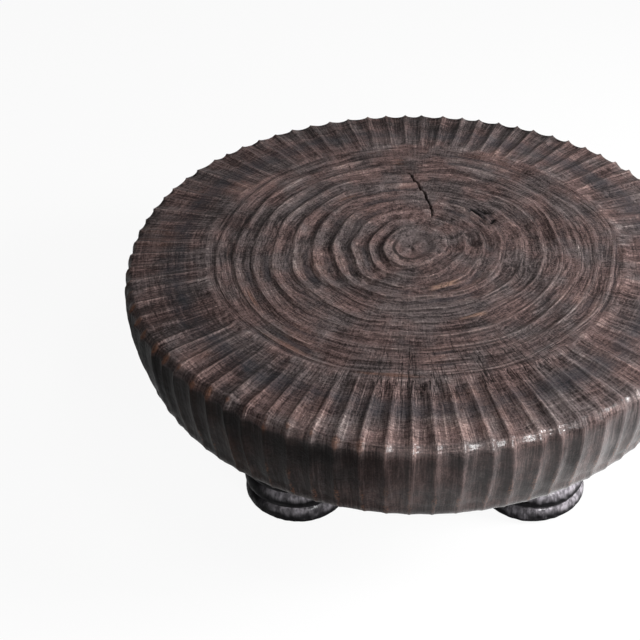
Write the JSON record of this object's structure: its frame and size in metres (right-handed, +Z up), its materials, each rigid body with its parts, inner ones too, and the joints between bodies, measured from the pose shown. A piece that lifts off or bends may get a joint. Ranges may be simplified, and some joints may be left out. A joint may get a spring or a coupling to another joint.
{
  "type": "round coffee table",
  "caption": "Low round coffee table: a thick carved wood slab with a ringed top and a fluted rim on short ring-turned feet.",
  "frame": {"origin": "on the floor under the centre of the round slab", "axes": "+Z up, -Y towards the front, +X to the right seen from the front"},
  "size_m": [0.8994, 0.9, 0.3441],
  "materials": {
    "burnt_wood": "burnt and brushed, satin",
    "foot_wood": "ebonised, waxed, semi-gloss",
    "bolt_steel": "zinc-plated",
    "insert_brass": "machined",
    "felt": "pressed felt"
  },
  "bodies": {
    "root": {"table_top": "burnt_wood", "foot_front_left": "foot_wood", "foot_front_right": "foot_wood", "foot_back_left": "foot_wood", "foot_back_right": "foot_wood", "hanger_bolts": "bolt_steel", "threaded_inserts": "insert_brass", "felt_pad_front_left": "felt", "felt_pad_front_right": "felt", "felt_pad_back_left": "felt", "felt_pad_back_right": "felt"}
  },
  "joints": []
}
